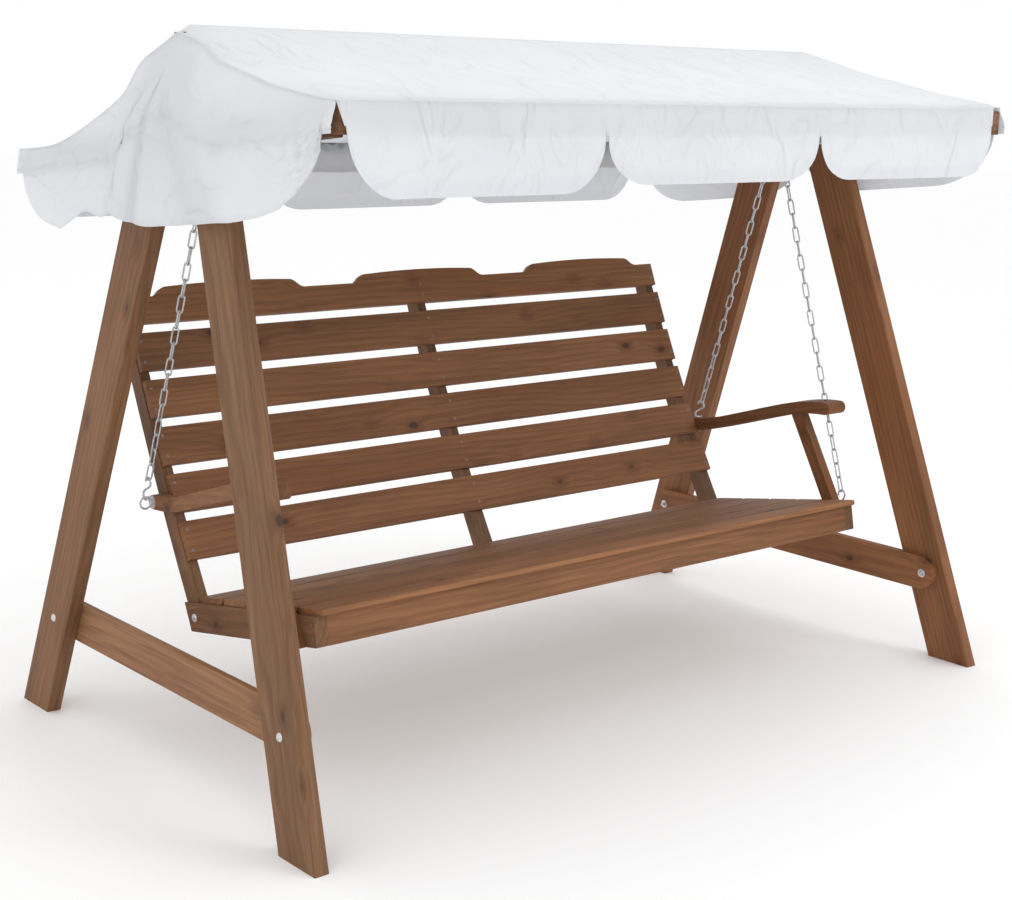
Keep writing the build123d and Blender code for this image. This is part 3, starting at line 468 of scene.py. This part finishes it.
def canopy_cloth():
    """One continuous sheet: roof, rail sleeves, hanging edges and gables, sharing their vertices."""
    front_marks = flap_marks(FRONT_FLAPS, FLAP_ROUND)
    rear_marks = flap_marks(REAR_FLAPS, FLAP_ROUND)
    rear_marks = [m for m in rear_marks if all(abs(m - f) > 0.002 for f in front_marks)]
    ends = [-cloth_half, cloth_half, -SLEEVE_HALF, SLEEVE_HALF]
    xs = steps(-cloth_half, cloth_half, CLOTH_STEP, front_marks + rear_marks + ends)
    side_marks = flap_marks(side_flaps(1), SIDE_ROUND) + flap_marks(side_flaps(-1), LEFT_ROUND)
    side_marks = [m for m in side_marks if abs(m - ridge_y) > CLOTH_STEP * 0.4]
    side_marks += [front_y, front_y + 0.007, front_y + 0.014, rear_y - 0.013, rear_y, ridge_y]
    side_marks += [sleeve_lines(-1)[0], sleeve_lines(1)[0]]
    ys = steps(front_y, rear_y, CLOTH_STEP, side_marks)
    shares = [roof_share(y) for y in ys]
    vertices, faces, seams = [], [], []

    def add(point, seam=0.0):
        vertices.append(point)
        seams.append(seam)
        return len(vertices) - 1

    def fill(rows):
        for upper, lower in zip(rows, rows[1:]):
            for a, b, c, d in zip(upper, upper[1:], lower[1:], lower):
                corners = list(dict.fromkeys((a, b, c, d)))
                if len(corners) >= 3:
                    faces.append(corners)

    # the roof; its outer lines are sewn
    roof = []
    for y, share in zip(ys, shares):
        row = []
        for x in xs:
            point = roof_point(x, share)
            at_edge = y in (ys[0], ys[-1]) or x in (xs[0], xs[-1])
            row.append(add(point, 1.0 if at_edge else 0.0))
        roof.append(row)
    fill(roof)

    # the front and rear flaps hang from the first and last rows of the roof
    for row, end in ((roof[0], -1), (roof[-1], 1)):
        edges = FRONT_FLAPS if end < 0 else REAR_FLAPS
        depths = []
        for x in xs:
            longer = FIRST_FLAP if end < 0 and x < FRONT_FLAPS[1] else 0.0
            depths.append(flap_depth(x, edges, BAND, VALANCE + longer, FLAP_ROUND))
        rows = [row]
        for level in range(1, FLAP_ROWS + 1):
            line = []
            for x, depth, top in zip(xs, depths, row):
                if depth < 0.001:
                    line.append(top)
                    continue
                point = valance_point(x, end, depth * level / FLAP_ROWS, vertices[top])
                line.append(add(point, 0.7 if level >= FLAP_ROWS - 1 else 0.0))
            rows.append(line)
        fill(rows if end > 0 else [list(reversed(r)) for r in rows])

    # a sleeve hangs inside each rail and turns out under it
    for end in (-1, 1):
        inner, places = sleeve_lines(end)
        row = roof[min(range(len(ys)), key=lambda i: abs(ys[i] - inner))]
        held = [top for x, top in zip(xs, row) if abs(x) <= SLEEVE_HALF]
        rows = [held]
        for y, z in places:
            line = []
            for top in held:
                x = vertices[top].x
                line.append(add(Vector((x, y, z + 0.002 * wave(x * 9.0, y, z)))))
            rows.append(line)
        fill(rows if end < 0 else [list(reversed(r)) for r in rows])

    # the gables hang from the first and last columns
    for side, column in ((-1, [r[0] for r in roof]), (1, [r[-1] for r in roof])):
        rows = [column]
        for level in range(1, GABLE_ROWS + 1):
            line = []
            for y, top in zip(ys, column):
                bottom = lower_edge(y, side)
                point = gable_point(side, y, level / GABLE_ROWS, vertices[top], bottom)
                on_seam = abs(point.z - seam_line(y, side)) < 0.009
                line.append(add(point, 0.9 if on_seam or level == GABLE_ROWS else 0.0))
            rows.append(line)
        fill(rows if side < 0 else [list(reversed(r)) for r in rows])

    mesh = bpy.data.meshes.new("canopy_cloth")
    mesh.from_pydata([tuple(v) for v in vertices], [], faces)
    mesh.validate()
    attribute = mesh.attributes.new("seam", "FLOAT", "POINT")
    attribute.data.foreach_set("value", seams)
    for polygon in mesh.polygons:
        polygon.use_smooth = True
    made = bpy.data.objects.new("canopy_cloth", mesh)
    bpy.context.scene.collection.objects.link(made)
    made.data.materials.append(cloth_material())
    return made


def flat_cut_area():
    """Area of the cloth before sewing: roof, flaps and gables laid flat."""
    roof_length = math.hypot(front_y - ridge_y, ridge_z - front_z)
    roof_length += math.hypot(rear_y - ridge_y, ridge_z - rear_z)
    area = roof_length * 2 * cloth_half
    for i in range(AREA_STRIPS):
        x = between(-cloth_half, cloth_half, (i + 0.5) / AREA_STRIPS)
        for edges in (FRONT_FLAPS, REAR_FLAPS):
            area += flap_depth(x, edges, BAND, VALANCE, FLAP_ROUND) * 2 * cloth_half / AREA_STRIPS
        y = between(front_y, rear_y, (i + 0.5) / AREA_STRIPS)
        share = roof_share(y)
        top = between(ridge_z, front_z if share < 0 else rear_z, abs(share))
        area += (2 * top - lower_edge(y, -1) - lower_edge(y, 1)) * (rear_y - front_y) / AREA_STRIPS
    area += 2 * 2 * SLEEVE_HALF * (rail_high + rail_rear[1].y - rail_rear[0].y)
    return roof_length, area


cloth = canopy_cloth()
cloth_nodes = [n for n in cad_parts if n.startswith(("canopy_roof", "canopy_valance", "canopy_gable"))]
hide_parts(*cloth_nodes)
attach(cloth, "frame")
roof_length, cut_area = flat_cut_area()


# ================================================================ materials of the CAD nodes
def leg_direction(node):
    """Along a leg: from its foot up to the ridge, seen from its box."""
    low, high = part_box(node)
    y = high.y - low.y if "front" in node else low.y - high.y
    x = low.x - high.x if "right" in node else high.x - low.x
    return (x * 0.75, y * 0.8, high.z - low.z)


def long_direction(node):
    """Along the longest side of a node's box, or up its slope if it is tilted in the YZ plane."""
    low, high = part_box(node)
    size = high - low
    if node.startswith("leg_"):
        return leg_direction(node)
    if node.startswith("canopy_arm"):
        return (0, size.y, -(size.z - rail_high))
    if node.startswith("crossbar"):
        return (0, 1, 0)
    if node.startswith(("side_rail", "middle_bearer")):
        return (0, 1, -0.18)
    if node.startswith("stile"):
        return (0, 0.46, 0.89)
    if node.startswith("arm_post"):
        return (0, 0.49, 0.87)
    if node.startswith("armrest"):
        return (0, 1, -0.24)
    return (1, 0, 0)


wood_parts = ("leg_", "crossbar", "top_beam", "canopy_arm", "canopy_rail_", "side_rail", "middle_bearer")
wood_parts += ("apron", "seat_slat_", "back_slat_", "crest_rail", "stile", "armrest", "arm_post")
chain_steel = steel("galvanised_chain", (0.60, 0.62, 0.64), 0.30)
bolt_steel = steel("galvanised_bolts", (0.66, 0.67, 0.68), 0.26)
screw_steel = steel("dulled_screws", (0.26, 0.22, 0.19), 0.45, spangle=0.2)

STAIN_AND_PAINTED_LIGHT = {                  # how light and how warm each kind of board is made: partly its stain, partly painted light, with the left crossbar and left legs lighter and greyer where light falls on their outer faces, the right crossbar darker on its shaded inner face, and the seat slats lighter on their tops, which face the light
    "leg_": (1.15, -0.03),
    "leg_front_right": (1.05, 0.20),
    "leg_rear_right": (1.00, 0.15),
    "crossbar_left": (1.85, -0.05),
    "crossbar_right": (1.30, 0.12),
    "seat_slat_": (1.45, 0.05),
    "apron": (1.30, 0.08),
    "back_slat_": (1.18, 0.10),
    "crest_rail": (1.18, 0.10),
    "armrest": (1.15, 0.12),
    "arm_post": (1.15, 0.15),
    "side_rail": (1.10, -0.05),
}


def dress(node, material):
    """Give a CAD node one material."""
    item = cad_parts[node]
    item.data.materials.clear()
    item.data.materials.append(material)


for index, node in enumerate(sorted(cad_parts)):
    if node in cloth_nodes:
        continue
    if "screws" in node:
        dress(node, screw_steel)
    elif node.startswith(("chain_", "hook_", "s_hooks")):
        dress(node, chain_steel)
    elif "bolt" in node or "washer" in node or "nuts" in node:
        dress(node, bolt_steel)
    elif node.startswith(wood_parts):
        light = 1.0 + 0.10 * math.sin(index * 2.3)
        warmth = 0.03 * math.sin(index * 1.1)
        # the table's gains are partly stain and partly painted light and shade on whole boards
        for start, (gain, warmer) in STAIN_AND_PAINTED_LIGHT.items():
            if node.startswith(start):
                light *= gain
                warmth += warmer
        dress(node, wood("pine_" + node, long_direction(node), index + 3.0, light, warmth))


# ================================================================ floor, light and camera
def floor_material():
    """Plain, nearly white and hardly shiny."""
    n = Nodes("pale_floor")
    n.shader.inputs["Base Color"].default_value = (0.99, 0.99, 0.99, 1.0)
    n.shader.inputs["Roughness"].default_value = 0.7
    n.shader.inputs["Specular IOR Level"].default_value = 0.1
    return n.material


bpy.ops.mesh.primitive_plane_add(size=60.0, location=(0, 0, 0))
floor = bpy.context.object
floor.name = "floor"
floor.data.materials.append(floor_material())

world = bpy.data.worlds.new("studio")
bpy.context.scene.world = world
world.use_nodes = True
world.node_tree.nodes["Background"].inputs["Color"].default_value = (1.0, 1.0, 1.0, 1.0)
world.node_tree.nodes["Background"].inputs["Strength"].default_value = 1.0


def area_light(name, place, aim, size, power):
    """A round soft light at a place, turned to a point."""
    lamp = bpy.data.lights.new(name, "AREA")
    lamp.shape = "DISK"
    lamp.size = size
    lamp.energy = power
    made = bpy.data.objects.new(name, lamp)
    bpy.context.scene.collection.objects.link(made)
    made.location = place
    made.rotation_euler = (Vector(aim) - Vector(place)).to_track_quat("-Z", "Y").to_euler()
    return made


area_light("key", (2.2, -4.2, 3.6), (0, 0, 0.6), 2.6, 45.0)
area_light("fill", (-4.5, -2.0, 2.2), (0, 0, 0.8), 3.0, 10.0)
area_light("top", (0.3, 0.6, 5.0), (0, 0, 0), 3.5, 22.0)

camera_data = bpy.data.cameras.new("camera")
camera_data.lens = CAMERA_LENS
camera_data.sensor_width = 36.0
camera_data.sensor_fit = "HORIZONTAL"
camera = bpy.data.objects.new("camera", camera_data)
bpy.context.scene.collection.objects.link(camera)
yaw = math.radians(CAMERA_YAW)
pitch = math.radians(CAMERA_PITCH)
roll = math.radians(CAMERA_ROLL)
look = Vector((math.sin(yaw) * math.cos(pitch), math.cos(yaw) * math.cos(pitch), -math.sin(pitch)))
level_right = Vector((math.cos(yaw), -math.sin(yaw), 0.0))
level_up = level_right.cross(look)
right = level_right * math.cos(roll) + level_up * math.sin(roll)
up = level_up * math.cos(roll) - level_right * math.sin(roll)
turned = Matrix((right, up, -look)).transposed().to_4x4()
place = Vector(CAMERA_PLACE) + Vector((0.0, ridge_y, 0.0))
camera.matrix_world = Matrix.Translation(place) @ turned
bpy.context.scene.camera = camera
bpy.context.scene.view_settings.view_transform = "Standard"
